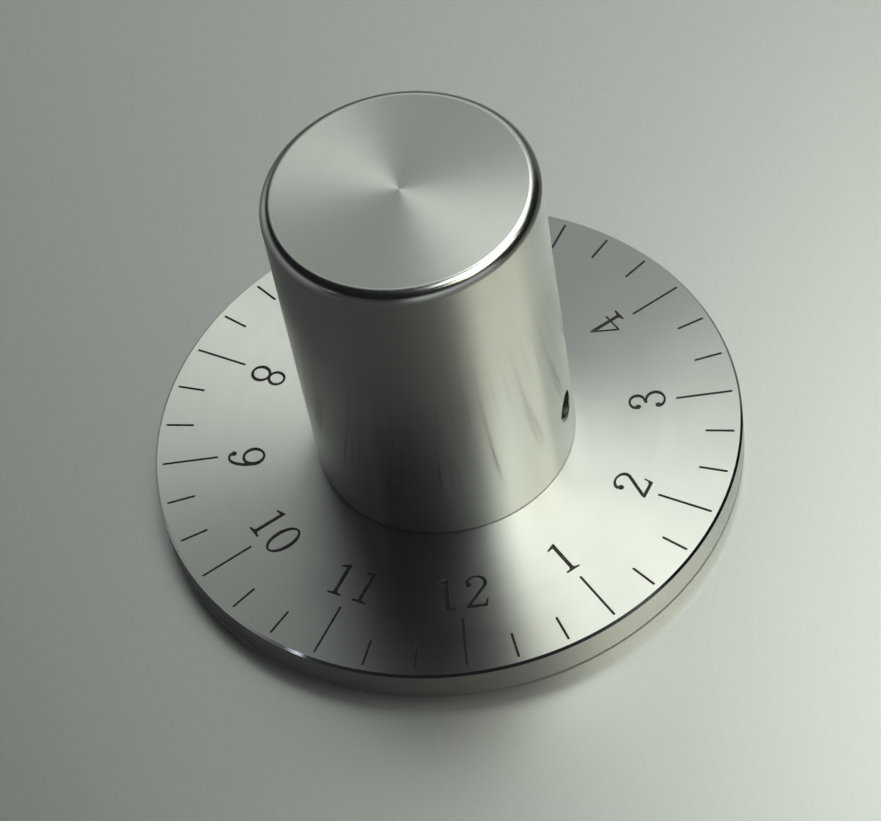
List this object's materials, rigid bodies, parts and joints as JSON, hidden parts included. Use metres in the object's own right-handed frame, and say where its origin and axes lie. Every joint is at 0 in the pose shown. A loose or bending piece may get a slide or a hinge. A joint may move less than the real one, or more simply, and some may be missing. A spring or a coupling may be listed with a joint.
{
  "type": "amplifier knob",
  "caption": "Turned aluminium control knob: a plain cylindrical grip on a wide round dial skirt engraved with a numbered scale, with a blind shaft bore and a radial set screw.",
  "frame": {"origin": "centre of the knob's axis on its underside", "axes": "+Z along the axis from the underside to the top of the grip; -Y towards the numeral 12; +X towards the numeral 3"},
  "size_m": [0.05, 0.05, 0.033],
  "materials": {
    "grip_aluminium": "fine turned wall, spun top face, polished top edge",
    "dial_aluminium": "concentric turned face, satin rim, polished top edge",
    "black_filling": "black enamel filled into the engraving",
    "screw_steel": "blackened steel"
  },
  "bodies": {
    "root": {"grip": "grip_aluminium", "dial_skirt": "dial_aluminium", "scale_filling": "black_filling", "set_screw": "screw_steel"}
  },
  "joints": []
}
